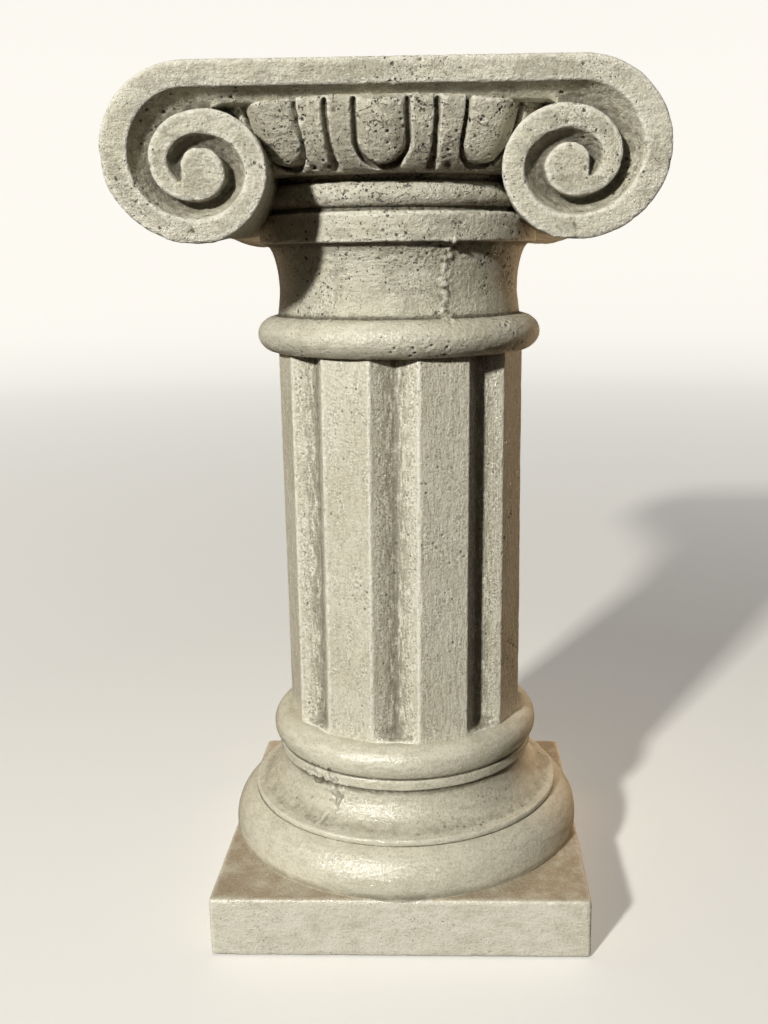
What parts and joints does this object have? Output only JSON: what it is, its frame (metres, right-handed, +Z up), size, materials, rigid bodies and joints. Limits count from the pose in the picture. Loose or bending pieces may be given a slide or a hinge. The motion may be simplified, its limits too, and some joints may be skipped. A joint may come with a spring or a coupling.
{
  "type": "ionic column pedestal",
  "caption": "Short cast stone Ionic column used as a garden pedestal: square plinth, moulded round base, fluted shaft, egg-and-dart ovolo and a flat-topped capital with volutes.",
  "frame": {"origin": "under the middle of the plinth, on its flat underside", "axes": "+Z up along the column, +X towards the right volute as seen from the front, front carved face towards -Y"},
  "size_m": [0.437, 0.35, 0.76],
  "materials": {
    "cast_stone": "weathered cast stone, cream faces with grey dirt in the hollows"
  },
  "bodies": {
    "root": {"column": "cast_stone"}
  },
  "joints": []
}
